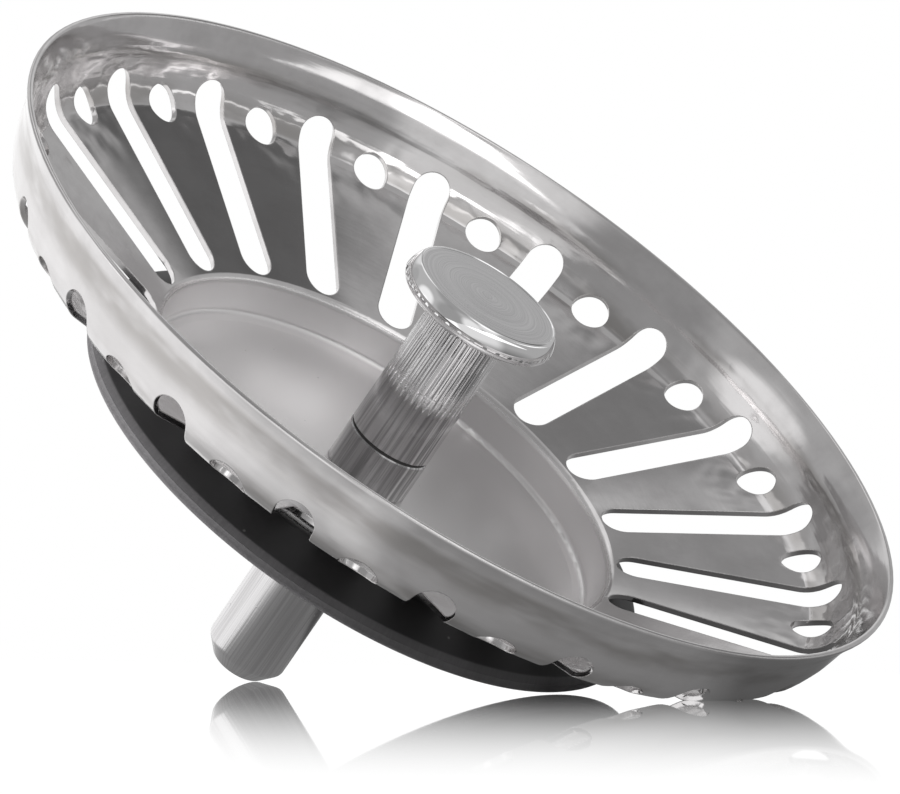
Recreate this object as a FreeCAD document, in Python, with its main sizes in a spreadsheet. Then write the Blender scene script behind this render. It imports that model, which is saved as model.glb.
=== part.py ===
import FreeCAD, Part
import math
import os
import Sketcher

# Sink basket strainer: pressed basket, screwed pull knob, clamp sleeve, cupped seal, tail pin.
# Millimetres, +Z up, origin at the centre of the tail pin's tip.

DRIVING = {
    # basket sheet, outer surface
    "rim_radius": 42.15,
    "flare_inset": 1.0,
    "flare_height": 1.9,
    "band_inset": 2.6,
    "band_height": 7.4,
    "cone_drop": 6.3,
    "well_radius": 22.4,
    "well_draft": 0.2,
    "well_depth": 3.7,
    "sheet_gauge": 0.5,
    "band_belly": 0.3,
    "flare_bend": 10.0,
    "belly_bend": 9.0,
    "shoulder_bend": 4.0,
    "well_bend": 0.3,
    "floor_bend": 1.0,
    "lip_round": 0.2,
    # slots and holes in the basket
    "opening_count": 20,
    "slot_width": 3.5,
    "slot_land": 0.2,
    "slot_rise": 2.7,
    "hole_width": 3.5,
    "hole_drop": 0.7,
    # pull knob
    "knob_radius": 7.1,
    "knob_thickness": 2.35,
    "knob_bevel_inset": 0.4,
    "knob_bevel_height": 1.3,
    "knob_top_round": 0.25,
    "knob_side_round": 0.8,
    "knob_lower_round": 0.7,
    "collar_length": 13.1,
    "collar_radius": 3.78,
    "collar_taper": 0.16,
    "collar_chamfer": 0.1,
    "knurl_count": 40,
    "knurl_depth": 0.16,
    "knurl_groove": 0.24,
    "knurl_length": 8.2,
    # clamped stack
    "knob_washer_thickness": 0.2,
    "sleeve_length": 3.8,
    "sleeve_chamfer": 0.12,
    "seal_thickness": 2.0,
    "seal_overhang": 4.45,
    "seal_edge": 1.3,
    "seal_edge_lean": 0.5,
    "seal_edge_round": 0.3,
    "seal_cup": 2.0,
    "seal_wall_height": 3.2,
    "seal_wall_gauge": 0.6,
    "seal_wall_gap": 0.1,
    "backing_thickness": 1.0,
    "backing_radius": 13.0,
    "backing_round": 0.4,
    "pin_length": 17.9,
    "pin_radius": 3.65,
    "pin_tip_length": 1.6,
    "pin_tip_inset": 1.25,
    "pin_tip_round": 0.6,
    # stud and its threads, drawn as plain cylinders
    "stud_radius": 2.5,
    "stud_chamfer": 0.5,
    "thread_clearance": 0.05,
    "bore_clearance": 0.3,
    "pin_thread_depth": 8.0,
    "knob_thread_depth": 8.0,
    "thread_end_room": 0.8,
}

DERIVED = {
    # basket heights, from the underside of its floor
    "shoulder_height": "well_depth + cone_drop",
    "basket_height": "well_depth + cone_drop + band_height",
    "flare_base_height": "basket_height - flare_height",
    "flare_radius": "rim_radius - flare_inset",
    "shoulder_radius": "rim_radius - band_inset",
    "belly_radius": "(shoulder_radius + flare_radius) / 2 + band_belly",
    "belly_height": "(shoulder_height + flare_base_height) / 2",
    "floor_radius": "well_radius - well_draft",
    # slot outline in plan and in elevation
    "slot_half_width": "slot_width / 2",
    "slot_inner_centre": "well_radius + slot_land + slot_half_width",
    "slot_join": "shoulder_radius - slot_width",
    "slot_plan_end": "slot_join + slot_half_width",
    "slot_top_centre": "shoulder_height + slot_rise - slot_half_width",
    "slot_low_end": "shoulder_height - cone_drop / 2",
    "slot_cut_depth": "2 * slot_width + band_inset",
    "hole_radius": "hole_width / 2",
    "hole_cut_depth": "2 * hole_width",
    "hole_height": "shoulder_height - hole_drop",
    # knob profile, from its lower face
    "knob_height": "collar_length + knob_thickness",
    "knob_side_height": "knob_height - knob_bevel_height",
    "knob_face_radius": "knob_radius - knob_bevel_inset",
    "collar_neck_radius": "collar_radius - collar_taper",
    "knurl_root": "collar_neck_radius - knurl_depth",
    "knurl_reach": "collar_radius + knurl_depth",
    "knurl_root_half": "knurl_groove / 2",
    "knurl_open_half": "knurl_groove",
    # bores around the stud
    "thread_bore": "stud_radius + thread_clearance",
    "clear_bore": "stud_radius + bore_clearance",
    "knob_bore_depth": "knob_thread_depth + thread_end_room",
    "pin_bore_start": "pin_length - pin_thread_depth - thread_end_room",
    "knob_washer_radius": "collar_radius - collar_chamfer",
    # seal profile, from its lower face
    "seal_low_radius": "floor_radius - sheet_gauge - seal_thickness / 2",
    "seal_radius": "well_radius + seal_overhang",
    "seal_edge_high": "seal_cup + seal_edge",
    "seal_edge_top_radius": "seal_radius - seal_edge_lean",
    "seal_wall_radius": "well_radius + seal_wall_gap",
    "seal_wall_outer": "seal_wall_radius + seal_wall_gauge",
    "seal_wall_top": "seal_thickness + seal_wall_height",
    "seal_seat_radius": "floor_radius - floor_bend / 2",
    "seal_seat_top": "seal_thickness + seal_wall_radius - seal_seat_radius",
    # pin profile
    "pin_tip_radius": "pin_radius - pin_tip_inset",
    # levels of the stack
    "seal_level": "pin_length + backing_thickness",
    "basket_level": "seal_level + seal_thickness",
    "sleeve_level": "basket_level + sheet_gauge",
    "knob_washer_level": "sleeve_level + sleeve_length",
    "knob_level": "knob_washer_level + knob_washer_thickness",
    "stud_level": "pin_length - pin_thread_depth",
    "stud_length": "knob_level + knob_thread_depth - stud_level",
}

SHEET = "sizes"
NEAR = 1e-4
HOLE_LEAN = -45.0


def write_sizes(doc):
    """Put every size in the sheet, the driving ones as plain numbers."""
    sheet = doc.addObject("Spreadsheet::Sheet", SHEET)
    cells = {name: str(value) for name, value in DRIVING.items()}
    cells.update({name: "=" + formula for name, formula in DERIVED.items()})
    for row, (name, text) in enumerate(cells.items(), 1):
        sheet.set(f"A{row}", name)
        sheet.set(f"B{row}", text)
        sheet.setAlias(f"B{row}", name)
    doc.recompute()


def size_of(doc, name):
    """Value of a size; None stands for zero and a leading minus turns the sign."""
    if name is None:
        return 0.0
    value = float(doc.getObject(SHEET).get(name.lstrip("-")))
    return -value if name.startswith("-") else value


def bind(thing, field, size):
    """Tie one property or constraint to a size in the sheet."""
    thing.setExpression(field, f"<<{SHEET}>>.{size}")


def new_body(doc, label, level=None):
    """Start a named body, standing at its level in the stack."""
    body = doc.addObject("PartDesign::Body", label)
    body.Label = label
    if level:
        bind(body, "Placement.Base.z", level)
    return body


def origin_item(body, role):
    return next(item for item in body.Origin.OriginFeatures if item.Role == role)


def new_sketch(body, name, plane):
    sketch = body.newObject("Sketcher::SketchObject", name)
    sketch.AttachmentSupport = [(origin_item(body, plane), "")]
    sketch.MapMode = "FlatFace"
    return sketch


def constrain(sketch, *terms):
    return sketch.addConstraint(Sketcher.Constraint(*terms))


def hold(sketch, kind, edge, end, size):
    """Hold one coordinate of a point at a size, or on the axis when there is none."""
    if size is None:
        constrain(sketch, "PointOnObject", edge, end, -2 if kind == "DistanceX" else -1)
        return
    plain = size.lstrip("-")
    value = size_of(sketch.Document, plain)
    order = (-1, 1, edge, end) if plain == size else (edge, end, -1, 1)
    index = constrain(sketch, kind, *order, value)
    bind(sketch, f"Constraints[{index}]", plain)


def outline(body, name, plane, corners):
    """Closed outline with straight sides; each corner is a pair of size names."""
    sketch = new_sketch(body, name, plane)
    points = []
    for across, up in corners:
        points.append(FreeCAD.Vector(size_of(body.Document, across), size_of(body.Document, up), 0))
    count = len(points)
    for i in range(count):
        sketch.addGeometry(Part.LineSegment(points[i], points[(i + 1) % count]))
    for i in range(count):
        constrain(sketch, "Coincident", i, 2, (i + 1) % count, 1)
    for i, (across, up) in enumerate(corners):
        hold(sketch, "DistanceX", i, 1, across)
        hold(sketch, "DistanceY", i, 1, up)
    return sketch


def turned(body, name, corners):
    """Solid turned about the body's Z axis from an outline in its XZ plane."""
    sketch = outline(body, name + "_outline", "XZ_Plane", corners)
    solid = body.newObject("PartDesign::Revolution", name)
    solid.Profile = sketch
    solid.ReferenceAxis = (sketch, ["V_Axis"])
    solid.Angle = 360.0
    body.Document.recompute()
    return solid


def ring_edges(shape, radius, height):
    """Names of the circular edges at a radius and height."""
    names = []
    for i, edge in enumerate(shape.Edges, 1):
        curve = edge.Curve
        if not isinstance(curve, Part.Circle):
            continue
        if abs(curve.Radius - radius) < NEAR and abs(curve.Center.z - height) < NEAR:
            names.append(f"Edge{i}")
    return names


def dress(body, kind, name, field, size, places):
    """Fillet or chamfer on circular edges, each place a pair of radius and height sizes."""
    doc = body.Document
    edges = []
    for radius, height in places:
        edges += ring_edges(body.Tip.Shape, size_of(doc, radius), size_of(doc, height))
    feature = body.newObject(kind, name)
    feature.Base = (feature.BaseFeature, edges)
    bind(feature, field, size)
    body.Tip = feature
    doc.recompute()
    return feature


def rounded(body, name, size, *places):
    return dress(body, "PartDesign::Fillet", name, "Radius", size, places)


def chamfered(body, name, size, *places):
    return dress(body, "PartDesign::Chamfer", name, "Size", size, places)


def circle_sketch(body, name, radius):
    """Circle about the origin of the body's XY plane."""
    sketch = new_sketch(body, name, "XY_Plane")
    value = size_of(body.Document, radius)
    sketch.addGeometry(Part.Circle(FreeCAD.Vector(), FreeCAD.Vector(0, 0, 1), value))
    constrain(sketch, "Coincident", 0, 3, -1, 1)
    bind(sketch, f"Constraints[{constrain(sketch, 'Radius', 0, value)}]", radius)
    return sketch


def pocket(body, name, sketch, depth=None, symmetric=False, reverse=False):
    """Cut a sketch to a depth, or right through when no depth is given."""
    cut = body.newObject("PartDesign::Pocket", name)
    cut.Profile = sketch
    cut.Reversed = reverse
    if symmetric:
        cut.SideType = "Symmetric"
    if depth:
        bind(cut, "Length", depth)
    else:
        cut.Type = "ThroughAll"
    body.Document.recompute()
    return cut


def ring_of(body, name, features, count):
    """Repeat features evenly about the body's Z axis."""
    pattern = body.newObject("PartDesign::PolarPattern", name)
    pattern.Originals = features
    pattern.Axis = (origin_item(body, "Z_Axis"), [""])
    pattern.Angle = 360.0
    bind(pattern, "Occurrences", count)
    body.Tip = pattern
    body.Document.recompute()
    return pattern


def slot_sketch(body, name, plane, square_end, round_centre, along_x):
    """Slot outline on an axis of the plane, square at one end and half round at the other."""
    sketch = new_sketch(body, name, plane)
    doc = body.Document
    half = size_of(doc, "slot_half_width")
    end = size_of(doc, square_end)
    centre = size_of(doc, round_centre)
    if along_x:
        middle = FreeCAD.Vector(centre, 0, 0)
        start_angle = math.pi / 2
        corners = [(centre, -half), (end, -half), (end, half), (centre, half)]
    else:
        middle = FreeCAD.Vector(0, centre, 0)
        start_angle = 0.0
        corners = [(-half, centre), (-half, end), (half, end), (half, centre)]
    ring = Part.Circle(middle, FreeCAD.Vector(0, 0, 1), half)
    sketch.addGeometry(Part.ArcOfCircle(ring, start_angle, start_angle + math.pi))
    for here, there in zip(corners, corners[1:]):
        sketch.addGeometry(Part.LineSegment(FreeCAD.Vector(*here, 0), FreeCAD.Vector(*there, 0)))
    constrain(sketch, "Tangent", 0, 2, 1, 1)
    constrain(sketch, "Coincident", 1, 2, 2, 1)
    constrain(sketch, "Coincident", 2, 2, 3, 1)
    constrain(sketch, "Tangent", 3, 2, 0, 1)
    along, across = ("Horizontal", "Vertical") if along_x else ("Vertical", "Horizontal")
    constrain(sketch, along, 1)
    constrain(sketch, along, 3)
    constrain(sketch, across, 2)
    distance = "DistanceX" if along_x else "DistanceY"
    hold(sketch, "DistanceY" if along_x else "DistanceX", 0, 3, None)
    hold(sketch, distance, 0, 3, round_centre)
    hold(sketch, distance, 2, 1, square_end)
    bind(sketch, f"Constraints[{constrain(sketch, 'Radius', 0, half)}]", "slot_half_width")
    return sketch


# strainer basket

def top_face(shape, height):
    """Name of the flat face at a height."""
    for i, face in enumerate(shape.Faces, 1):
        if isinstance(face.Surface, Part.Plane) and abs(face.CenterOfMass.z - height) < NEAR:
            return f"Face{i}"
    raise ValueError("no flat face at that height")


def basket_sheet(body):
    """Pressed sheet: turned and bent outer form, hollowed to the sheet gauge from the open top."""
    turned(body, "basket_form", [
        (None, None),
        ("floor_radius", None),
        ("well_radius", "well_depth"),
        ("shoulder_radius", "shoulder_height"),
        ("belly_radius", "belly_height"),
        ("flare_radius", "flare_base_height"),
        ("rim_radius", "basket_height"),
        (None, "basket_height"),
    ])
    rounded(body, "floor_bends", "floor_bend", ("floor_radius", None))
    rounded(body, "well_bends", "well_bend", ("well_radius", "well_depth"))
    rounded(body, "shoulder_bends", "shoulder_bend", ("shoulder_radius", "shoulder_height"))
    rounded(body, "belly_bends", "belly_bend", ("belly_radius", "belly_height"))
    rounded(body, "flare_bends", "flare_bend", ("flare_radius", "flare_base_height"))
    form = body.Tip
    sheet = body.newObject("PartDesign::Thickness", "basket_sheet")
    sheet.Base = (form, [top_face(form.Shape, size_of(body.Document, "basket_height"))])
    sheet.Reversed = True
    bind(sheet, "Value", "sheet_gauge")
    body.Tip = sheet
    body.Document.recompute()


def lip(body):
    """Smooth the two edges of the sheet at the rim."""
    height = size_of(body.Document, "basket_height")
    edges = []
    for i, edge in enumerate(body.Tip.Shape.Edges, 1):
        if isinstance(edge.Curve, Part.Circle) and abs(edge.Curve.Center.z - height) < NEAR:
            edges.append(f"Edge{i}")
    smooth = body.newObject("PartDesign::Fillet", "lip_rounds")
    smooth.Base = (smooth.BaseFeature, edges)
    bind(smooth, "Radius", "lip_round")
    body.Tip = smooth
    body.Document.recompute()


def slots(body):
    """Slots cut down through the cone and out through the band, full round at both ends."""
    plan = slot_sketch(body, "slot_plan", "XY_Plane", "slot_plan_end", "slot_inner_centre", True)
    cone_cut = pocket(body, "slot_in_cone", plan, symmetric=True)
    side = slot_sketch(body, "slot_side", "YZ_Plane", "slot_low_end", "slot_top_centre", False)
    bind(side, "AttachmentOffset.Base.z", "slot_join")
    band_cut = pocket(body, "slot_in_band", side, "slot_cut_depth", reverse=True)
    ring_of(body, "slot_ring", [cone_cut, band_cut], "opening_count")


def holes(body):
    """Round holes through the shoulder, a little below its corner and half-way between the slots."""
    sketch = circle_sketch(body, "hole_outline", "hole_radius")
    half_step = FreeCAD.Rotation(FreeCAD.Vector(0, 0, 1), 180.0 / size_of(body.Document, "opening_count"))
    lean = FreeCAD.Rotation(FreeCAD.Vector(0, 1, 0), HOLE_LEAN)
    sketch.AttachmentOffset = FreeCAD.Placement(FreeCAD.Vector(), half_step * lean)
    bind(sketch, "AttachmentOffset.Base.x", f"shoulder_radius * cos(180 deg / <<{SHEET}>>.opening_count)")
    bind(sketch, "AttachmentOffset.Base.y", f"shoulder_radius * sin(180 deg / <<{SHEET}>>.opening_count)")
    bind(sketch, "AttachmentOffset.Base.z", "hole_height")
    hole = pocket(body, "shoulder_hole", sketch, "hole_cut_depth", symmetric=True)
    ring_of(body, "hole_ring", [hole], "opening_count")


def strainer_basket(doc):
    body = new_body(doc, "strainer_basket", "basket_level")
    basket_sheet(body)
    lip(body)
    pocket(body, "floor_hole", circle_sketch(body, "floor_hole_outline", "clear_bore"), symmetric=True)
    slots(body)
    holes(body)


# turned pieces of the post

def knurl(body):
    """Straight grooves around the collar, running down from the disc."""
    groove = outline(body, "knurl_outline", "XY_Plane", [
        ("knurl_root", "-knurl_root_half"),
        ("knurl_reach", "-knurl_open_half"),
        ("knurl_reach", "knurl_open_half"),
        ("knurl_root", "knurl_root_half"),
    ])
    bind(groove, "AttachmentOffset.Base.z", "collar_length")
    cut = pocket(body, "knurl_groove_cut", groove, "knurl_length")
    ring_of(body, "knurl_ring", [cut], "knurl_count")


def pull_knob(doc):
    """Disc on a slightly tapered collar, knurled under the disc, with a blind threaded bore."""
    body = new_body(doc, "pull_knob", "knob_level")
    turned(body, "knob_turning", [
        ("thread_bore", None),
        ("collar_radius", None),
        ("collar_neck_radius", "collar_length"),
        ("knob_radius", "collar_length"),
        ("knob_radius", "knob_side_height"),
        ("knob_face_radius", "knob_height"),
        (None, "knob_height"),
        (None, "knob_bore_depth"),
        ("thread_bore", "knob_bore_depth"),
    ])
    chamfered(body, "collar_edge", "collar_chamfer", ("collar_radius", None))
    rounded(body, "disc_top_edge", "knob_top_round", ("knob_face_radius", "knob_height"))
    rounded(body, "disc_side_edge", "knob_side_round", ("knob_radius", "knob_side_height"))
    rounded(body, "disc_lower_edge", "knob_lower_round", ("knob_radius", "collar_length"))
    knurl(body)


def plain_ring(doc, label, level, inner, outer, thickness):
    """Flat ring on the axis."""
    body = new_body(doc, label, level)
    turned(body, label + "_turning", [(inner, None), (outer, None), (outer, thickness), (inner, thickness)])
    return body


def knob_washer(doc):
    plain_ring(doc, "knob_washer", "knob_washer_level",
               "clear_bore", "knob_washer_radius", "knob_washer_thickness")


def clamp_sleeve(doc):
    body = plain_ring(doc, "clamp_sleeve", "sleeve_level", "thread_bore", "collar_radius", "sleeve_length")
    chamfered(body, "sleeve_edges", "sleeve_chamfer", ("collar_radius", None), ("collar_radius", "sleeve_length"))


def centre_stud(doc):
    body = new_body(doc, "centre_stud", "stud_level")
    turned(body, "stud_turning", [
        (None, None),
        ("stud_radius", None),
        ("stud_radius", "stud_length"),
        (None, "stud_length"),
    ])
    chamfered(body, "stud_ends", "stud_chamfer", ("stud_radius", None), ("stud_radius", "stud_length"))


# seal and tail

def rubber_seal(doc):
    """Moulding clamped under the floor, with a wall around the well that slopes out to a thick edge."""
    body = new_body(doc, "rubber_seal", "seal_level")
    turned(body, "seal_moulding", [
        ("clear_bore", None),
        ("seal_low_radius", None),
        ("seal_radius", "seal_cup"),
        ("seal_edge_top_radius", "seal_edge_high"),
        ("seal_wall_outer", "seal_wall_top"),
        ("seal_wall_radius", "seal_wall_top"),
        ("seal_wall_radius", "seal_seat_top"),
        ("seal_seat_radius", "seal_thickness"),
        ("clear_bore", "seal_thickness"),
    ])
    rounded(body, "seal_edges", "seal_edge_round",
            ("seal_radius", "seal_cup"), ("seal_edge_top_radius", "seal_edge_high"))


def backing_washer(doc):
    body = plain_ring(doc, "backing_washer", "pin_length", "clear_bore", "backing_radius", "backing_thickness")
    rounded(body, "backing_edge", "backing_round", ("backing_radius", None))


def tail_pin(doc):
    """Round pin with a chamfered tip and a blind threaded bore in its upper end."""
    body = new_body(doc, "tail_pin")
    turned(body, "pin_turning", [
        (None, None),
        ("pin_tip_radius", None),
        ("pin_radius", "pin_tip_length"),
        ("pin_radius", "pin_length"),
        ("thread_bore", "pin_length"),
        ("thread_bore", "pin_bore_start"),
        (None, "pin_bore_start"),
    ])
    rounded(body, "pin_tip_edges", "pin_tip_round", ("pin_tip_radius", None), ("pin_radius", "pin_tip_length"))


def check_and_write(doc):
    """Stop on any faulty feature, then write one file for each body."""
    doc.recompute()
    for item in doc.Objects:
        if "Invalid" in item.State or "Error" in item.State:
            raise RuntimeError(f"{item.Name} is {item.State}")
    os.makedirs("parts", exist_ok=True)
    for body in doc.findObjects("PartDesign::Body"):
        shape = body.Shape
        if shape.isNull() or not shape.isValid() or len(shape.Solids) != 1:
            raise RuntimeError(f"{body.Label} is not one sound solid")
        shape.exportStep(f"parts/{body.Label}.step")
        box = shape.BoundBox
        print(f"{body.Label:16s} {shape.Volume:10.2f}  z {box.ZMin:7.2f} {box.ZMax:7.2f}  x {box.XMax:6.2f}")


def build():
    doc = FreeCAD.newDocument("sink_strainer")
    write_sizes(doc)
    strainer_basket(doc)
    pull_knob(doc)
    knob_washer(doc)
    clamp_sleeve(doc)
    centre_stud(doc)
    rubber_seal(doc)
    backing_washer(doc)
    tail_pin(doc)
    check_and_write(doc)


build()
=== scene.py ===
from math import cos, radians, sin

import bmesh
import bpy
from mathutils import Euler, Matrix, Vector


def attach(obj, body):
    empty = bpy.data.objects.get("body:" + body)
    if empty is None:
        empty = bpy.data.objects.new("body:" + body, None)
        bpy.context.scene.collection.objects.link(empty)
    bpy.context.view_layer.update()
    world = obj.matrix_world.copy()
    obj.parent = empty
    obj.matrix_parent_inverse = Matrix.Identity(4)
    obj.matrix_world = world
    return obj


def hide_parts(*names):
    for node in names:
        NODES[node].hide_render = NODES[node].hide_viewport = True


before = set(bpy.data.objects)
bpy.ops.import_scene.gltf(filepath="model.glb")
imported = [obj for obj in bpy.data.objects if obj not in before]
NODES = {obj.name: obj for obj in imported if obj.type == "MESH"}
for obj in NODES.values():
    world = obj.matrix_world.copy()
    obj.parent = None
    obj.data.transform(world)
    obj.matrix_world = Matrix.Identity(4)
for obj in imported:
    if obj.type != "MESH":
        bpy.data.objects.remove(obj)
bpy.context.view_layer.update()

# Looks of a sink basket strainer, in metres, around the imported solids.
# Profiles below are in millimetres, as pairs of radius and height on the strainer's axis.

MM = 0.001
MERGE_GAP = 0.0005 * MM

# Camera of the product view
CAMERA_PLACE = (0.02239, -0.34107, 0.16682)
CAMERA_TURN = (64.340, -31.743, 17.586)
CAMERA_LENS = 176.15

# The table that the strainer leans on, given in the strainer's own upright frame
TABLE_LEAN = 40.4
TABLE_BEARING = -28.17
TABLE_DEPTH = 30.7 * MM
TABLE_SIZE = 2.0
LIP_CENTRE = Vector((0, 0, 38.3 * MM))

# The basket's band: radius gained per height, and the radius left over on its inner and outer face, in mm
BAND_SLOPE = 0.473
BAND_FACES = (23.58, 23.78)

# The well's floor is slightly domed
DOME_RADIUS = 180 * MM
DOME_EDGE = 20.5 * MM

# Bearing of the side of the well that is painted darker as painted shade; the other side is painted lighter
WELL_SHADE_SIDE = (0.79, 0.61)

# Pull knob, with the share of a groove's depth at each point of a reed and, where the grooves fade out, at
# each height
REEDS = 40
POINTS_PER_REED = 8
REED_DEPTH = 0.2
REED_SHARE = {0: 1.0, 1: 0.1, 7: 0.1}
REED_FADE = {30.5: 0.12, 30.8: 0.35, 31.1: 0.65, 31.4: 0.88}
LEVEL_NEAR = 0.01
REED_BOTTOM = 30.3
REED_TOP = 38.48
KNOB_PROFILE = [
    (2.55, 34.2), (2.55, 25.41), (3.68, 25.41), (3.78, 25.51), (3.735, 30.2), (3.73, 30.5), (3.73, 30.8),
    (3.725, 31.1), (3.72, 31.4), (3.71, 31.8), (3.67, 35.0), (3.62, 38.3), (3.62, 38.5), (6.3, 38.5),
    (7.1, 39.0), (7.1, 39.6), (6.85, 40.35), (6.55, 40.82), (6.4, 40.85), (6.32, 40.78), (0.6, 40.78),
]
# Rings of the knob that are rounded, with the size and the steps of the rounding
KNOB_ROUNDS = [
    ([(7.1, 39.0)], 0.4, 4),
    ([(7.1, 39.6), (6.85, 40.35)], 0.3, 4),
    ([(6.55, 40.82)], 0.1, 3),
]
# Mean radius of the collar, and a radius between it and the disc's edge
COLLAR_RADIUS = 3.7
COLLAR_LIMIT = 5

# Bearing of the side on which the post's chrome is painted darker as painted shade
POST_SHADE_SIDE = (-0.86, -0.5)

# Rubber seal
SEAL_SIDES = 240
SEAL_PROFILE = [
    (2.8, 18.9), (20.5, 18.9), (26.6, 20.74), (26.85, 21.0), (26.66, 21.5), (26.69, 21.57), (26.63, 21.64),
    (26.42, 22.1), (26.15, 22.28), (23.1, 24.05), (22.52, 24.05), (22.52, 21.75), (21.7, 20.9), (2.8, 20.9),
]
SEAL_ROUNDS = [
    ([(26.85, 21.0)], 0.15, 3),
    ([(23.1, 24.05)], 0.3, 3),
    ([(20.5, 18.9)], 1.2, 4),
]

# Stud
STUD_RADIUS = 2.5
STUD_ROOT = 2.1
STUD_BOTTOM = 9.9
STUD_TOP = 33.4
THREAD_PITCH = 0.8
THREAD_STEPS = 32
# One turn of the thread from its root, as radius and share of the pitch
THREAD_FORM = [
    (STUD_ROOT, 0.0), (STUD_ROOT, 0.12), (STUD_RADIUS, 0.5), (STUD_RADIUS, 0.62), (STUD_ROOT, 1.0),
]
# Turns of the thread that are wound below the stud's lower end and past its upper end, then cut off
SPARE_TURNS = 2

# Places on the pieces that their finishes tell apart, in millimetres. A pair says where a mark starts and
# where it is full, and four values say where it starts, is full, starts to fade and ends.
SHOULDER_HEIGHTS = (28.6, 30.4, 32.0, 35.5)
BAND_HEIGHTS = (30.2, 31.4, 36.6, 37.4)
# Painted highlight: heights of a lighter stripe along the middle of the band
HIGHLIGHT_CREST_HEIGHTS = (31.4, 33.2, 33.8, 35.6)
WELL_HEIGHTS = (25.2, 24.4)
WELL_RADII = (23.0, 22.4)
WALL_RADII = (20.2, 21.2)
FLOOR_HEIGHTS = (22.6, 21.8)
FLOOR_RADII = (22.0, 21.2)
# Painted shade: reach across the well over which it darkens towards one side
WELL_SHADE_REACH = (-14.0, 16.0)
FACE_HEIGHTS = (40.7, 40.76)
FACE_RADII = (6.34, 6.26)
KNOB_SIDE_HEIGHTS = (38.5, 38.3)
PLAIN_COLLAR_HEIGHTS = (31.6, 30.2)
SEAL_EDGE_RADII = (26.2, 26.4)
SEAL_EDGE_HEIGHTS = (22.3, 22.1)

# Share of the bearing towards the shaded side at which the post's painted shade starts and is full
POST_SHADE_REACH = (-0.35, -0.05)

# Colours
CLEAN_SHEET = (0.80, 0.785, 0.787)
STAINED_SHEET = (0.61, 0.595, 0.596)
# Rubbing marks mixed with painted shade on the band's outer face
RUBBED_AND_SHADED_SHEET = (0.43, 0.412, 0.40)
# Painted light and painted shade: the well is painted lighter than the sheet, and darker towards one side
PAINTED_LIGHT_WELL = (0.98, 0.965, 0.967)
PAINTED_SHADE_WELL = (0.80, 0.785, 0.787)
BRIGHT_PLATE = (0.93, 0.925, 0.93)
PLATE_LINES = (0.40, 0.395, 0.40)
# Painted shade on one side of the knob's collar
SHADED_PLATE = (0.30, 0.295, 0.30)
TURNED_LIGHT = (0.58, 0.575, 0.58)
TURNED_DARK = (0.40, 0.395, 0.40)
SLEEVE_LINES = (0.42, 0.415, 0.42)
# Painted shade on one side of the sleeve
SHADED_SLEEVE = (0.22, 0.216, 0.22)
CLEAN_PIN = (0.74, 0.73, 0.735)
PIN_LINES = (0.60, 0.59, 0.595)
PLAIN_STEEL = (0.58, 0.57, 0.565)
STAINED_STEEL = (0.47, 0.46, 0.455)
BLACK_RUBBER = (0.012, 0.0115, 0.012)
# Paler rubber: random bloom, and a painted highlight on the seal's edge
BLOOM_AND_SHEEN_RUBBER = (0.062, 0.06, 0.062)
PALE_DUST = (0.45, 0.45, 0.44)
DARK_FIBRE = (0.02, 0.02, 0.02)
PALE_FIBRE = (0.05, 0.048, 0.045)


# Shader maths

class Value:
    """A shader socket that takes part in sums."""

    def __init__(self, finish, socket):
        self.finish = finish
        self.socket = socket

    def math(self, operation, first, second):
        return self.finish.node("ShaderNodeMath", {"operation": operation}, {0: first, 1: second})

    def __add__(self, other):
        return self.math("ADD", self, other)

    __radd__ = __add__

    def __sub__(self, other):
        return self.math("SUBTRACT", self, other)

    def __rsub__(self, other):
        return self.math("SUBTRACT", other, self)

    def __mul__(self, other):
        return self.math("MULTIPLY", self, other)

    __rmul__ = __mul__


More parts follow.
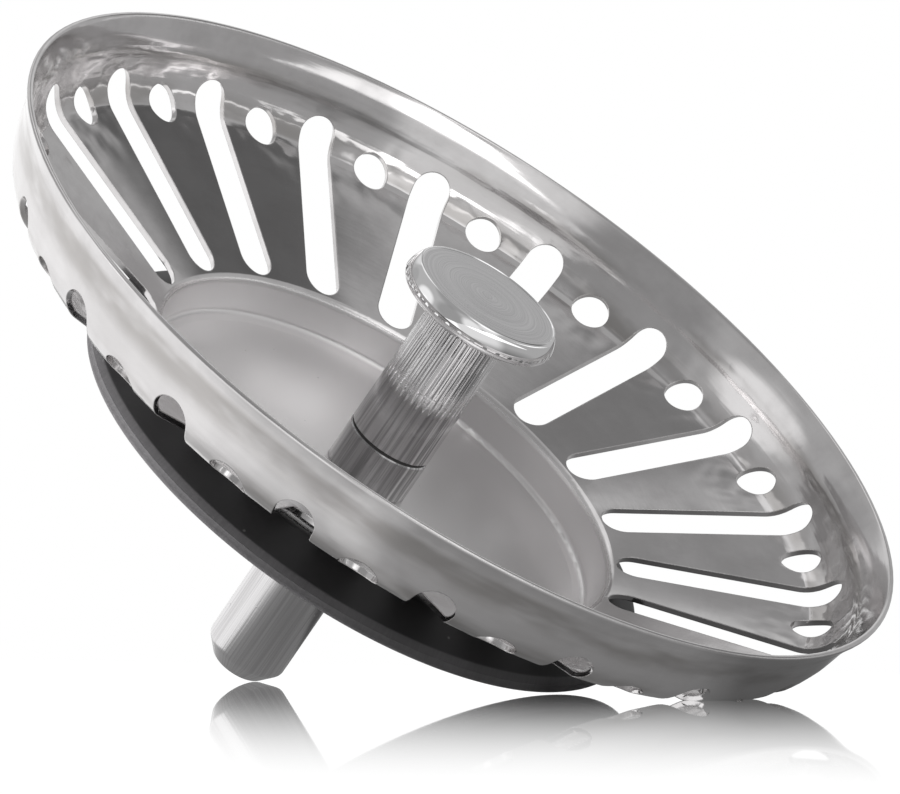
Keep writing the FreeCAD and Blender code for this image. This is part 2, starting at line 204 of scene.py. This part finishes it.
class Finish:
    """A material, or the world, built up node by node."""

    def __init__(self, owner):
        owner.use_nodes = True
        self.owner = owner
        self.tree = owner.node_tree
        self.tree.nodes.clear()

    def node(self, kind, settings=None, sockets=None, output=0):
        made = self.tree.nodes.new(kind)
        for name, value in (settings or {}).items():
            setattr(made, name, value)
        for name, value in (sockets or {}).items():
            if isinstance(value, Value):
                self.tree.links.new(value.socket, made.inputs[name])
            else:
                made.inputs[name].default_value = value
        return Value(self, made.outputs[output]) if made.outputs else None

    def close(self, shader, kind="ShaderNodeOutputMaterial"):
        self.node(kind, sockets={"Surface": shader})
        return self.owner

    def place(self):
        return self.node("ShaderNodeTexCoord", output="Object")

    def axis_place(self):
        """Place on a turned piece: its distance from the axis, and its height."""
        place = self.place()
        across = self.node("ShaderNodeVectorMath", {"operation": "MULTIPLY"}, {0: place, 1: (1, 1, 0)})
        radius = self.node("ShaderNodeVectorMath", {"operation": "LENGTH"}, {0: across}, output="Value")
        height = self.node("ShaderNodeSeparateXYZ", sockets={0: place}, output="Z")
        return radius, height

    def bearing(self):
        """Direction of a place from the axis, as a pair of length 1."""
        place = self.place()
        across = self.node("ShaderNodeVectorMath", {"operation": "MULTIPLY"}, {0: place, 1: (1, 1, 0)})
        bearing = self.node("ShaderNodeVectorMath", {"operation": "NORMALIZE"}, {0: across})
        east = self.node("ShaderNodeSeparateXYZ", sockets={0: bearing}, output="X")
        north = self.node("ShaderNodeSeparateXYZ", sockets={0: bearing}, output="Y")
        return east, north

    def towards(self, side):
        """How far the bearing of a place lies towards a side: 1 on it, -1 on the far one."""
        east, north = self.bearing()
        return east * side[0] + north * side[1]

    def noise(self, vector, scale, detail=2.0, roughness=0.5):
        return self.node("ShaderNodeTexNoise", sockets={
            "Vector": vector, "Scale": scale, "Detail": detail, "Roughness": roughness})

    def ring_noise(self, per_metre, drift, detail=2.0, roughness=0.5):
        """Noise drawn out around the axis, as a lathe or a polishing mop leaves it."""
        radius, height = self.axis_place()
        east, north = self.bearing()
        vector = self.node("ShaderNodeCombineXYZ", sockets={
            "X": radius * per_metre, "Y": height * per_metre, "Z": east * drift})
        return self.node("ShaderNodeTexNoise", {"noise_dimensions": "4D"}, {
            "Vector": vector, "W": north * drift, "Scale": 1.0, "Detail": detail, "Roughness": roughness})

    def line_noise(self, lines, drift, detail=2.0, roughness=0.5):
        """Noise drawn out along the axis, as drawing a bar leaves it."""
        height = self.axis_place()[1]
        east, north = self.bearing()
        vector = self.node("ShaderNodeCombineXYZ", sockets={
            "X": east * lines, "Y": north * lines, "Z": height * drift})
        return self.noise(vector, 1.0, detail, roughness)

    def ramp(self, value, low, high, start=0.0, end=1.0):
        """Smooth climb from start to end while value goes from low to high."""
        return self.node("ShaderNodeMapRange", {"interpolation_type": "SMOOTHSTEP"}, {
            "Value": value, "From Min": low, "From Max": high, "To Min": start, "To Max": end})

    def mark(self, value, places):
        """Mask from 0 to 1 between two places in millimetres."""
        start, full = places
        return self.ramp(value, start * MM, full * MM)

    def stripe(self, value, places):
        """Mask that climbs between the first two of four places in mm and falls between the others."""
        start, full, fading, end = places
        return self.mark(value, (start, full)) * self.mark(value, (end, fading))

    def between(self, factor, first, second):
        """Colour between two colours."""
        ends = [colour if isinstance(colour, Value) else (*colour, 1) for colour in (first, second)]
        sockets = {0: factor, 6: ends[0], 7: ends[1]}
        return self.node("ShaderNodeMix", {"data_type": "RGBA"}, sockets, output=2)

    def bump(self, height, depth, normal=None):
        """Normal of a surface whose height changes by this depth in millimetres."""
        sockets = {"Height": height, "Distance": depth * MM, "Strength": 1.0}
        if normal:
            sockets["Normal"] = normal
        return self.node("ShaderNodeBump", sockets=sockets)

    def edge_normal(self, size):
        """Normal with the sharp edges softened by a size in millimetres."""
        return self.node("ShaderNodeBevel", {"samples": 6}, {"Radius": size * MM})


def new_finish(name):
    return Finish(bpy.data.materials.new(name))


def metal(finish, colour, roughness, normal):
    shader = finish.node("ShaderNodeBsdfPrincipled", sockets={
        "Base Color": colour, "Metallic": 1.0, "Roughness": roughness, "Normal": normal})
    return finish.close(shader)


def sheet_steel():
    """Polished pressed sheet: soft waves, puckers along the shoulder, streaks and smudges, a painted
    highlight along the band's middle, rubbing marks with painted shade on the band's outer face, and a well
    painted lighter with painted shade towards one side.
    """
    finish = new_finish("polished_sheet")
    place = finish.place()
    radius, height = finish.axis_place()

    shoulder = finish.stripe(height, SHOULDER_HEIGHTS)
    band = finish.stripe(height, BAND_HEIGHTS)
    # Painted highlight: a stripe along the middle of the band gets fewer stains and less rubbing, so it
    # reads lighter
    highlight_crest = finish.stripe(height, HIGHLIGHT_CREST_HEIGHTS)
    outside = finish.mark(radius - BAND_SLOPE * height, BAND_FACES)
    well = finish.mark(height, WELL_HEIGHTS) * finish.mark(radius, WELL_RADII)
    wall = well * finish.mark(radius, WALL_RADII)
    floor = finish.mark(height, FLOOR_HEIGHTS) * finish.mark(radius, FLOOR_RADII)

    waves = finish.noise(place, 95, detail=1.0)
    puckers = finish.noise(place, 300, detail=1.0)
    smudges = finish.noise(place, 160, detail=4.0, roughness=0.6)
    drawn = finish.ring_noise(260, 3.2, detail=3.0, roughness=0.6)
    ripples = finish.ring_noise(420, 1.8, detail=2.0)
    streaks = finish.ring_noise(1500, 7.0, detail=3.0, roughness=0.6)
    polish = finish.ring_noise(5200, 9.0, detail=3.0)

    stain = 0.6 * finish.ramp(smudges, 0.35, 0.7) + 0.4 * streaks
    stain = stain * (1.0 - 0.75 * well) * (1.0 - 0.6 * highlight_crest)
    # Rubbing marks on the band's outer face, mottled by drawn noise; their darkening is also painted shade
    # standing in for darker reflections there
    rubbed_and_shade = outside * band * (1.0 - 0.8 * highlight_crest) * finish.ramp(drawn, 0.38, 0.6)
    # Painted light and painted shade: the well is painted lighter than the sheet and darker towards one side
    well_shade = finish.mark(radius * finish.towards(WELL_SHADE_SIDE), WELL_SHADE_REACH)
    sheet = finish.between(stain, CLEAN_SHEET, STAINED_SHEET)
    sheet = finish.between(rubbed_and_shade * 0.8, sheet, RUBBED_AND_SHADED_SHEET)
    colour = finish.between(well, sheet, finish.between(well_shade, PAINTED_LIGHT_WELL, PAINTED_SHADE_WELL))

    roughness = 0.06 + 0.06 * finish.ramp(smudges, 0.4, 0.7) * (1.0 - well) + 0.05 * streaks
    roughness = roughness + 0.3 * wall + 0.2 * floor * (1.0 - wall)

    inside = finish.node("ShaderNodeMath", {"operation": "MINIMUM"}, {0: radius, 1: DOME_EDGE})
    dome = inside * inside * (-0.5 / DOME_RADIUS / MM)
    normal = finish.edge_normal(0.14)
    normal = finish.bump(dome, 1.0, normal)
    normal = finish.bump(waves, 0.10, normal)
    normal = finish.bump(puckers * shoulder, 0.16, normal)
    normal = finish.bump(drawn * outside * band, 0.09, normal)
    normal = finish.bump(ripples * (0.6 + 1.4 * band), 0.014, normal)
    normal = finish.bump(streaks, 0.004, normal)
    normal = finish.bump(polish, 0.0008, normal)
    return metal(finish, colour, roughness, normal)


def knob_chrome():
    """Bright plate over a turned blank: lathe rings on the face, drawn lines and painted shade on one side
    of the collar.
    """
    finish = new_finish("bright_plate")
    radius, height = finish.axis_place()

    face = finish.mark(height, FACE_HEIGHTS) * finish.mark(radius, FACE_RADII)
    side = finish.mark(height, KNOB_SIDE_HEIGHTS)
    collar = finish.mark(height, PLAIN_COLLAR_HEIGHTS)

    rings = finish.ring_noise(6500, 0.15, detail=1.0)
    lathe = finish.ring_noise(15000, 0.8, detail=1.0)
    turned = finish.ring_noise(22000, 0.15, detail=2.0, roughness=0.7)
    turning = finish.ring_noise(9000, 3.0, detail=2.0, roughness=0.7)
    lines = finish.line_noise(9, 60, detail=3.0, roughness=0.7)
    smudges = finish.noise(finish.place(), 300, detail=3.0)

    dark = finish.ramp(lines, 0.42, 0.62) * (0.35 * side + 0.65 * collar)
    # Painted shade: the collar's chrome is darkened on one side of the post
    dull = finish.ramp(finish.towards(POST_SHADE_SIDE), *POST_SHADE_REACH) * collar
    plate = finish.between(dark, BRIGHT_PLATE, PLATE_LINES)
    plate = finish.between(dull * 0.6, plate, SHADED_PLATE)
    scored = finish.between(finish.ramp(turned, 0.35, 0.65), TURNED_LIGHT, TURNED_DARK)
    colour = finish.between(face, plate, scored)

    roughness = 0.03 + 0.07 * face + 0.1 * smudges * collar

    normal = finish.bump(rings * face, 0.005)
    normal = finish.bump(lathe * face, 0.005, normal)
    normal = finish.bump(turning * side, 0.004, normal)
    normal = finish.bump(lines * collar, 0.03, normal)
    return metal(finish, colour, roughness, normal)


def sleeve_chrome():
    """Bright plate with turning marks, drawn lines and painted shade on one side."""
    finish = new_finish("sleeve_plate")
    turning = finish.ring_noise(9000, 3.0, detail=2.0, roughness=0.7)
    lines = finish.line_noise(9, 60, detail=3.0, roughness=0.7)
    # Painted shade: the sleeve's chrome is darkened on one side of the post
    dull = finish.ramp(finish.towards(POST_SHADE_SIDE), *POST_SHADE_REACH)
    plate = finish.between(finish.ramp(lines, 0.4, 0.6), BRIGHT_PLATE, SLEEVE_LINES)
    colour = finish.between(dull * 0.75, plate, SHADED_SLEEVE)
    normal = finish.bump(turning, 0.003)
    normal = finish.bump(lines, 0.03, normal)
    return metal(finish, colour, 0.05, normal)


def pin_steel():
    """Satin turned rod with fine turning marks, drawn lines and a few handling nicks."""
    finish = new_finish("satin_rod")
    turning = finish.ring_noise(6000, 3.0, detail=3.0, roughness=0.7)
    lines = finish.line_noise(14, 40, detail=3.0, roughness=0.7)
    nicks = finish.noise(finish.place(), 900, detail=2.0)
    colour = finish.between(finish.ramp(lines, 0.4, 0.65), CLEAN_PIN, PIN_LINES)
    normal = finish.bump(turning, 0.006, finish.edge_normal(0.3))
    normal = finish.bump(lines, 0.022, normal)
    normal = finish.bump(finish.ramp(nicks, 0.68, 0.74), 0.015, normal)
    return metal(finish, colour, 0.10 + 0.06 * lines, normal)


def plain_steel(name):
    """Plain washer or stud steel with a dull, slightly stained surface."""
    finish = new_finish(name)
    stains = finish.noise(finish.place(), 260, detail=4.0, roughness=0.6)
    turning = finish.ring_noise(3600, 3.0, detail=3.0)
    colour = finish.between(finish.ramp(stains, 0.35, 0.7), PLAIN_STEEL, STAINED_STEEL)
    return metal(finish, colour, 0.27 + 0.16 * stains, finish.bump(turning, 0.003))


def seal_rubber():
    """Matt moulded rubber, finely hatched on its edge, with random paler bloom, a painted highlight along
    its edge and a little dust.
    """
    finish = new_finish("moulded_rubber")
    place = finish.place()
    radius, height = finish.axis_place()

    edge = finish.mark(radius, SEAL_EDGE_RADII) * finish.mark(height, SEAL_EDGE_HEIGHTS)
    hatch = finish.line_noise(95, 500, detail=3.0, roughness=0.7)
    bloom = finish.noise(place, 90, detail=4.0, roughness=0.6)
    grain = finish.noise(place, 2600, detail=2.0)
    cells = {"Vector": place, "Scale": 420.0}
    specks = finish.node("ShaderNodeTexVoronoi", sockets=cells, output="Distance")
    sparse = finish.noise(place, 330, detail=0.0)
    dust = finish.ramp(specks, 0.14, 0.07) * finish.ramp(sparse, 0.62, 0.68)

    # Painted highlight: the whole edge is painted paler; the bloom adds random paler tone over the rubber
    bloom_and_edge_sheen = edge * (0.7 + 0.15 * finish.ramp(hatch, 0.35, 0.7)) + 0.06 * finish.ramp(bloom, 0.4, 0.75)
    rubber = finish.between(bloom_and_edge_sheen, BLACK_RUBBER, BLOOM_AND_SHEEN_RUBBER)
    colour = finish.between(dust * 0.6, rubber, PALE_DUST)
    normal = finish.bump(grain, 0.004)
    normal = finish.bump(hatch * edge, 0.008, normal)
    shader = finish.node("ShaderNodeBsdfPrincipled", sockets={
        "Base Color": colour, "Roughness": 0.42 + 0.15 * bloom, "Specular IOR Level": 0.28,
        "Normal": normal})
    return finish.close(shader)


def washer_fibre():
    """Dark matt fibre."""
    finish = new_finish("dark_fibre")
    fibres = finish.noise(finish.place(), 2400, detail=3.0)
    shader = finish.node("ShaderNodeBsdfPrincipled", sockets={
        "Base Color": finish.between(fibres, DARK_FIBRE, PALE_FIBRE),
        "Roughness": 0.6, "Normal": finish.bump(fibres, 0.01)})
    return finish.close(shader)


# Modelling by hand in edit mode

def deselect_all():
    bpy.ops.object.select_all(action="DESELECT")


def start_ring(name, sides, radius, height):
    """Ring of points on the axis, left in edit mode with all of it selected."""
    deselect_all()
    bpy.ops.mesh.primitive_circle_add(vertices=sides, radius=radius * MM, location=(0, 0, height * MM))
    piece = bpy.context.active_object
    piece.name = name
    piece.data.name = name
    bpy.ops.object.transform_apply(location=True, rotation=True, scale=True)
    bpy.ops.object.mode_set(mode="EDIT")
    bpy.ops.mesh.select_mode(type="EDGE")
    bpy.ops.mesh.select_all(action="SELECT")
    return piece


def pull_ring(start, end):
    """Extrude the selected ring from one radius and height to another."""
    radius, height = start
    new_radius, new_height = end
    size = new_radius / radius
    bpy.ops.mesh.extrude_region_move(TRANSFORM_OT_translate={"value": (0, 0, (new_height - height) * MM)})
    bpy.ops.transform.resize(value=(size, size, 1), center_override=(0, 0, 0))


def pull_profile(name, sides, profile):
    """Turned shell pulled ring by ring along a profile."""
    piece = start_ring(name, sides, *profile[0])
    for start, end in zip(profile, profile[1:]):
        pull_ring(start, end)
    return piece


def select_points(piece, test):
    """Select the points of a piece in edit mode that pass a test on radius and height in millimetres."""
    bpy.ops.mesh.select_mode(type="VERT")
    bpy.ops.mesh.select_all(action="DESELECT")
    mesh = bmesh.from_edit_mesh(piece.data)
    for point in mesh.verts:
        place = point.co / MM
        point.select = test(place.xy.length, place.z, point.co)
    mesh.select_flush_mode()
    bmesh.update_edit_mesh(piece.data)


def select_rings(piece, places, near=0.02):
    """Select the edges that run around the axis at these radii and heights."""
    bpy.ops.mesh.select_mode(type="EDGE")
    bpy.ops.mesh.select_all(action="DESELECT")
    mesh = bmesh.from_edit_mesh(piece.data)
    for edge in mesh.edges:
        ends = [point.co / MM for point in edge.verts]
        edge.select = any(
            all(abs(end.xy.length - radius) < near and abs(end.z - height) < near for end in ends)
            for radius, height in places)
    bmesh.update_edit_mesh(piece.data)


def round_rings(piece, places, size, steps):
    select_rings(piece, places)
    bpy.ops.mesh.bevel(offset=size * MM, segments=steps, affect="EDGES", profile=0.5, clamp_overlap=False)


def end_piece(piece, smooth_angle):
    """Merge doubles, turn the faces outwards, smooth the shading and leave edit mode."""
    bpy.ops.mesh.select_all(action="SELECT")
    bpy.ops.mesh.remove_doubles(threshold=MERGE_GAP)
    bpy.ops.mesh.normals_make_consistent(inside=False)
    bpy.ops.object.mode_set(mode="OBJECT")
    deselect_all()
    piece.select_set(True)
    bpy.context.view_layer.objects.active = piece
    bpy.ops.object.shade_smooth_by_angle(angle=radians(smooth_angle))


def cap_ring(piece, radius, height):
    """Close an end ring with a fan to the axis."""
    select_rings(piece, [(radius, height)])
    bpy.ops.mesh.extrude_region_move()
    bpy.ops.mesh.merge(type="CENTER")


def reed_point(piece_point):
    """Number of a point within its reed."""
    step = 360.0 / (REEDS * POINTS_PER_REED)
    bearing = piece_point.xy.angle_signed(Vector((1, 0)))
    return round(bearing / radians(step)) % POINTS_PER_REED


def press_reeds(piece):
    """Sink straight grooves into the collar, fading out at their lower end."""
    levels = [height for radius, height in KNOB_PROFILE if REED_BOTTOM < height < REED_TOP]
    for level in levels:
        share = REED_FADE.get(level, 1.0)
        for number, depth in REED_SHARE.items():
            select_points(piece, lambda radius, height, point: (
                abs(height - level) < LEVEL_NEAR and radius < COLLAR_LIMIT and reed_point(point) == number))
            size = 1 - REED_DEPTH * depth * share / COLLAR_RADIUS
            bpy.ops.transform.resize(value=(size, size, 1), center_override=(0, 0, 0))


def pull_knob():
    """Knob with a turned face, a polished edge and a reeded collar."""
    piece = pull_profile("turned_knob", REEDS * POINTS_PER_REED, KNOB_PROFILE)
    cap_ring(piece, *KNOB_PROFILE[-1])
    cap_ring(piece, *KNOB_PROFILE[0])
    press_reeds(piece)
    for places, size, steps in KNOB_ROUNDS:
        round_rings(piece, places, size, steps)
    end_piece(piece, smooth_angle=40)
    piece.data.materials.append(knob_chrome())
    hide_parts("pull_knob")
    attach(piece, "knob")


def rubber_seal():
    """Seal with a wall around the well, a rounded edge and a faint mould line."""
    piece = pull_profile("moulded_seal", SEAL_SIDES, SEAL_PROFILE + SEAL_PROFILE[:1])
    bpy.ops.mesh.select_all(action="SELECT")
    bpy.ops.mesh.remove_doubles(threshold=MERGE_GAP)
    for places, size, steps in SEAL_ROUNDS:
        round_rings(piece, places, size, steps)
    end_piece(piece, smooth_angle=50)
    piece.data.materials.append(seal_rubber())
    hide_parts("rubber_seal")
    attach(piece, "strainer")


def cut_level(height, keep_above):
    """Cut all of a piece in edit mode at a height and close the cut."""
    bpy.ops.mesh.select_all(action="SELECT")
    bpy.ops.mesh.bisect(plane_co=(0, 0, height * MM), plane_no=(0, 0, 1), use_fill=True,
                        clear_inner=keep_above, clear_outer=not keep_above)


def threaded_stud():
    """Stud with a cut thread: one turn of the form, wound up past both ends and cut level."""
    start = STUD_BOTTOM - SPARE_TURNS * THREAD_PITCH
    deselect_all()
    bpy.ops.mesh.primitive_plane_add(size=MM)
    piece = bpy.context.active_object
    piece.name = "threaded_stud"
    piece.data.name = "threaded_stud"
    bpy.ops.object.mode_set(mode="EDIT")
    bpy.ops.mesh.select_mode(type="VERT")
    bpy.ops.mesh.select_all(action="SELECT")
    bpy.ops.mesh.merge(type="CENTER")
    bpy.ops.mesh.select_all(action="SELECT")
    bpy.ops.transform.translate(value=(STUD_ROOT * MM, 0, start * MM))
    for (radius, share), (new_radius, new_share) in zip(THREAD_FORM, THREAD_FORM[1:]):
        step = ((new_radius - radius) * MM, 0, (new_share - share) * THREAD_PITCH * MM)
        bpy.ops.mesh.extrude_vertices_move(TRANSFORM_OT_translate={"value": step})
    bpy.ops.object.mode_set(mode="OBJECT")
    winding = piece.modifiers.new("winding", "SCREW")
    winding.axis = "Z"
    winding.screw_offset = THREAD_PITCH * MM
    winding.iterations = round((STUD_TOP - STUD_BOTTOM) / THREAD_PITCH) + 2 * SPARE_TURNS
    winding.steps = THREAD_STEPS
    winding.render_steps = THREAD_STEPS
    bpy.ops.object.modifier_apply(modifier="winding")
    bpy.ops.object.mode_set(mode="EDIT")
    bpy.ops.mesh.select_all(action="SELECT")
    bpy.ops.mesh.remove_doubles(threshold=MERGE_GAP)
    cut_level(STUD_BOTTOM, True)
    cut_level(STUD_TOP, False)
    end_piece(piece, smooth_angle=30)
    piece.data.materials.append(plain_steel("stud_steel"))
    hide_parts("centre_stud")
    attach(piece, "strainer")


def paint(node, material):
    """Give a solid that keeps its own shape its finish."""
    NODES[node].data.materials.clear()
    NODES[node].data.materials.append(material)


# Studio, laid out as the camera sees it: up from the table, away from the camera, to its right

def table_up():
    lean = radians(TABLE_LEAN)
    bearing = radians(TABLE_BEARING)
    return Vector((-sin(lean) * cos(bearing), -sin(lean) * sin(bearing), cos(lean)))


CAMERA_ANGLES = Euler([radians(turn) for turn in CAMERA_TURN])
LOOK = CAMERA_ANGLES.to_matrix() @ Vector((0, 0, -1))
UP = table_up()
AWAY = (LOOK - LOOK.dot(UP) * UP).normalized()
RIGHT = AWAY.cross(UP)
FOOT = LIP_CENTRE - TABLE_DEPTH * UP


def studio_direction(azimuth, elevation):
    """Direction from the strainer: azimuth 0 is away from the camera and 90 to its right."""
    side = radians(azimuth)
    rise = radians(elevation)
    level = sin(side) * RIGHT + cos(side) * AWAY
    return cos(rise) * level + sin(rise) * UP


def along(finish, vector, axis):
    """How far a vector reaches along an axis."""
    ends = {0: vector, 1: axis}
    return finish.node("ShaderNodeVectorMath", {"operation": "DOT_PRODUCT"}, ends, output="Value")


def spot(finish, direction, azimuth, elevation, inner, outer):
    """Mask that is 1 within the inner angle of a studio direction and 0 beyond the outer one."""
    nearness = along(finish, direction, studio_direction(azimuth, elevation))
    return finish.ramp(nearness, cos(radians(outer)), cos(radians(inner)))


# Light of the tent, and what each softbox or dark flag does to it: azimuth, elevation, angle of the full
# patch, angle where it ends, change of the light
TENT_LIGHT = 0.46
STUDIO_PATCHES = [
    (59, 38, 9, 18, -0.72),
    (62, 66, 3, 11, -0.5),
    (24, 54, 6, 12, -0.3),
    (18, 33, 6, 12, 0.6),
    (-155, 12, 14, 26, -0.3),
    (-62, 38, 9, 15, -0.15),
    (-20, 50, 10, 17, 0.6),
    (-110, 28, 11, 20, 1.0),
    (134, 30, 10, 22, 1.4),
    (144, 10, 8, 16, 0.7),
    (0, 77, 12, 20, 0.9),
    (180, 50, 18, 30, -0.3),
    (172, 3, 8, 18, 0.8),
]
# The white wall at the left, lit from below: azimuth, elevation, angle of the full patch, angle where it
# ends, and the elevations between which its light fades
WALL_LIGHT = 0.62
WALL_PATCH = (-50, 5, 56, 68)
WALL_FADE = (13, 31)

# Lit parts of the table as the metal shows them: where each starts to the right and away in metres, its
# azimuth, angle of the full patch, angle where it ends, change of the light
TABLE_LIGHT = 0.4
TABLE_PATCHES = [
    (0, 0, -95, 58, 72, 1.6),
    (0, 0, 168, 22, 42, 0.9),
    (0.11, 0, 167, 12, 24, 2.2),
    (0.35, 0.03, 82, 40, 60, 2.2),
]
# Distances from the foot between which the shade under the strainer clears, and its darkest share
CONTACT_SHADE = (0.015, 0.075)
SHADE_SHARE = 0.2
# What the camera sees of the table: the share that glows white, how much it mirrors at most, and the
# distances towards the camera between which the mirror fades out and, behind the strainer, plain white ends
GLOW_SHARE = 0.94
MIRROR_SHARE = 0.97
MIRROR_FADE = (0.025, 0.17)
WHITE_FADE = (-0.06, -0.01)


def studio_world():
    """Tent of light and dark patches that the metal mirrors; plain white to the camera."""
    world = bpy.data.worlds.new("studio")
    bpy.context.scene.world = world
    sky = Finish(world)
    direction = sky.node("ShaderNodeTexCoord", output="Generated")
    start, end = [sin(radians(elevation)) for elevation in WALL_FADE]
    low = sky.ramp(along(sky, direction, UP), start, end, 1.0, 0.0)
    light = TENT_LIGHT + WALL_LIGHT * low * spot(sky, direction, *WALL_PATCH)
    for azimuth, elevation, inner, outer, change in STUDIO_PATCHES:
        light = light * (1.0 + change * spot(sky, direction, azimuth, elevation, inner, outer))
    camera_ray = sky.node("ShaderNodeLightPath", output="Is Camera Ray")
    level = camera_ray + (1.0 - camera_ray) * light
    shade = sky.node("ShaderNodeBackground", sockets={"Color": (1, 1, 1, 1), "Strength": level})
    sky.close(shade, "ShaderNodeOutputWorld")


def table_finish():
    """Glossy white top whose mirror fades towards the camera; metal mirrors its lit parts, and from below
    it is clear."""
    finish = new_finish("white_gloss_top")
    seen = finish.node("ShaderNodeLightPath", output="Is Camera Ray")
    mirrored = finish.node("ShaderNodeLightPath", output="Is Glossy Ray")
    glow = finish.node("ShaderNodeEmission", sockets={"Color": (1, 1, 1, 1), "Strength": 1.0})
    matt = finish.node("ShaderNodeBsdfDiffuse", sockets={"Color": (0.8, 0.8, 0.8, 1)})
    mirror = finish.node("ShaderNodeBsdfGlossy", sockets={"Color": (1, 1, 1, 1), "Roughness": 0.02})
    place = finish.node("ShaderNodeNewGeometry", output="Position")
    ends = {0: place, 1: FOOT}
    reach = finish.node("ShaderNodeVectorMath", {"operation": "DISTANCE"}, ends, output="Value")
    level = TABLE_LIGHT * finish.ramp(reach, *CONTACT_SHADE, SHADE_SHARE, 1.0)
    for right, away, azimuth, inner, outer, change in TABLE_PATCHES:
        start = FOOT + right * RIGHT + away * AWAY
        offset = finish.node("ShaderNodeVectorMath", {"operation": "SUBTRACT"}, {0: place, 1: start})
        bearing = finish.node("ShaderNodeVectorMath", {"operation": "NORMALIZE"}, {0: offset})
        level = level * (1.0 + change * spot(finish, bearing, azimuth, 0, inner, outer))
    lit = finish.node("ShaderNodeEmission", sockets={"Color": (1, 1, 1, 1), "Strength": level})
    nearer = along(finish, place, -AWAY)
    beyond = finish.ramp(nearer, *WHITE_FADE, 1.0, 0.0)
    fade = finish.ramp(nearer, *MIRROR_FADE, MIRROR_SHARE, 0.0) * (1.0 - beyond)
    glowing = seen * (GLOW_SHARE + (1 - GLOW_SHARE) * beyond)
    white = finish.node("ShaderNodeMixShader", sockets={0: glowing, 1: matt, 2: glow})
    shown = finish.node("ShaderNodeMixShader", sockets={0: mirrored, 1: white, 2: lit})
    gloss = finish.node("ShaderNodeMixShader", sockets={0: fade * seen, 1: shown, 2: mirror})
    clear = finish.node("ShaderNodeBsdfTransparent")
    back = finish.node("ShaderNodeNewGeometry", output="Backfacing")
    return finish.close(finish.node("ShaderNodeMixShader", sockets={0: back, 1: gloss, 2: clear}))


def table_top():
    """Table that the strainer leans on."""
    deselect_all()
    turn = UP.to_track_quat("Z", "Y").to_euler()
    bpy.ops.mesh.primitive_plane_add(size=TABLE_SIZE, location=FOOT, rotation=turn)
    table = bpy.context.active_object
    table.name = "table_top"
    table.data.materials.append(table_finish())


def softbox(name, azimuth, elevation, distance, size, watts):
    """Square soft lamp that lights the table and the rubber but stays out of the reflections."""
    lamp = bpy.data.lights.new(name, "AREA")
    lamp.size = size
    lamp.energy = watts
    box = bpy.data.objects.new(name, lamp)
    bpy.context.scene.collection.objects.link(box)
    towards = studio_direction(azimuth, elevation)
    box.location = FOOT + distance * towards
    box.rotation_euler = towards.to_track_quat("Z", "Y").to_euler()
    box.visible_glossy = False


def product_camera():
    """Camera of the product view."""
    camera = bpy.data.objects.new("camera", bpy.data.cameras.new("camera"))
    bpy.context.scene.collection.objects.link(camera)
    camera.location = CAMERA_PLACE
    camera.rotation_euler = CAMERA_ANGLES
    camera.data.lens = CAMERA_LENS
    camera.data.clip_start = 0.01
    bpy.context.scene.camera = camera


paint("strainer_basket", sheet_steel())
paint("clamp_sleeve", sleeve_chrome())
paint("tail_pin", pin_steel())
paint("backing_washer", plain_steel("washer_steel"))
paint("knob_washer", washer_fibre())
pull_knob()
rubber_seal()
threaded_stud()

studio_world()
table_top()
softbox("back_softbox", azimuth=35, elevation=55, distance=0.8, size=0.5, watts=7.0)
softbox("left_softbox", azimuth=-95, elevation=8, distance=0.6, size=0.4, watts=18.0)
product_camera()
bpy.context.scene.view_settings.view_transform = "Standard"
